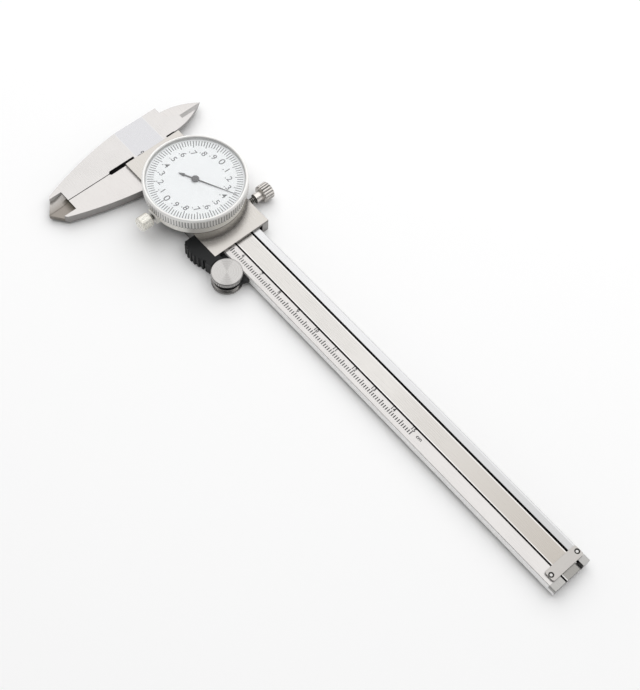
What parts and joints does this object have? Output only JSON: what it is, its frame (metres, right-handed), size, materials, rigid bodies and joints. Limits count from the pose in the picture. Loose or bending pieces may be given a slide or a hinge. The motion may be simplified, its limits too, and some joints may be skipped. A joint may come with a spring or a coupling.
{
  "type": "dial caliper",
  "caption": "Dial caliper with outside and inside jaws, a sliding head with a round dial, thumb roller, lock screw and a depth blade in the beam.",
  "frame": {"origin": "on the back of the slider, on the middle line of the beam, where the outside jaws meet", "axes": "+X along the beam from the jaws to its free end, +Y across the beam towards the inside jaws, +Z out of the dial"},
  "size_m": [0.2343, 0.0756, 0.0152],
  "materials": {
    "ground_steel": "satin ground, hardened",
    "plate_steel": "satin brushed",
    "rack_steel": "milled",
    "screw_steel": "turned",
    "nickel": "nickel plated, knurled",
    "bezel_metal": "satin plated",
    "housing_metal": "satin",
    "brass": "machined",
    "dial_white": "matt white",
    "needle_grey": "satin",
    "crystal_clear": "clear, polished",
    "black_plastic": "moulded, fine grain"
  },
  "bodies": {
    "beam": {"beam": "ground_steel", "rack": "rack_steel", "stop_plate": "ground_steel", "stop_screw_1": "screw_steel", "stop_screw_2": "screw_steel"},
    "slider": {"slider_frame": "ground_steel", "front_plate": "plate_steel", "gib": "brass", "gib_screw_1": "screw_steel", "gib_screw_2": "screw_steel", "depth_blade": "plate_steel", "blade_screw_1": "screw_steel", "blade_screw_2": "screw_steel", "dial_housing": "housing_metal", "case_screw_1": "screw_steel", "case_screw_2": "screw_steel", "case_screw_3": "screw_steel", "case_screw_4": "screw_steel", "clamp_shoe": "brass", "pillar_1": "brass", "pillar_2": "brass", "movement_bridge": "brass", "bridge_screw_1": "screw_steel", "bridge_screw_2": "screw_steel", "thumb_rest": "black_plastic", "rest_screw_1": "screw_steel", "rest_screw_2": "screw_steel"},
    "bezel": {"bezel": "bezel_metal", "dial_face": "dial_white", "crystal": "crystal_clear"},
    "needle": {"centre_arbor": "screw_steel", "needle": "needle_grey", "needle_hub": "needle_grey"},
    "transfer": {"transfer_arbor": "screw_steel", "transfer_wheel": "brass"},
    "roller": {"thumb_roller": "ground_steel"},
    "lock_screw": {"lock_screw": "nickel"},
    "bezel_clamp_screw": {"bezel_clamp_screw": "nickel"}
  },
  "joints": [
    {"name": "slider_slide", "type": "slide", "parent": "beam", "child": "slider", "axis": [1, 0, 0], "range_m": [0, 0.15]},
    {"name": "transfer_spin", "type": "hinge", "parent": "slider", "child": "transfer", "pos_m": [0.01912, 0.00139, 0], "axis": [0, 0, 1], "continuous": true},
    {"name": "needle_spin", "type": "hinge", "parent": "slider", "child": "needle", "pos_m": [0.0274, 0, 0], "axis": [0, 0, 1], "continuous": true},
    {"name": "roller_spin", "type": "hinge", "parent": "slider", "child": "roller", "pos_m": [0.0619, -0.01353, 0], "axis": [0, 0, 1], "continuous": true},
    {"name": "bezel_turn", "type": "hinge", "parent": "slider", "child": "bezel", "pos_m": [0.0274, 0, 0], "axis": [0, 0, 1], "continuous": true},
    {"name": "lock_turn", "type": "hinge", "parent": "slider", "child": "lock_screw", "pos_m": [0.0423, 0.0125, 0.00348], "axis": [0, 1, 0], "range_deg": [-60, 360]},
    {"name": "clamp_turn", "type": "hinge", "parent": "slider", "child": "bezel_clamp_screw", "pos_m": [0.0274, -0.0209, 0.00835], "axis": [0, -1, 0], "range_deg": [-60, 360]}
  ],
  "couplings": [
    {"joint": "transfer_spin", "follows": "slider_slide", "rad_per_m": 523.6},
    {"joint": "needle_spin", "follows": "slider_slide", "rad_per_m": -3141.6},
    {"joint": "roller_spin", "follows": "slider_slide", "rad_per_m": 192.31}
  ]
}
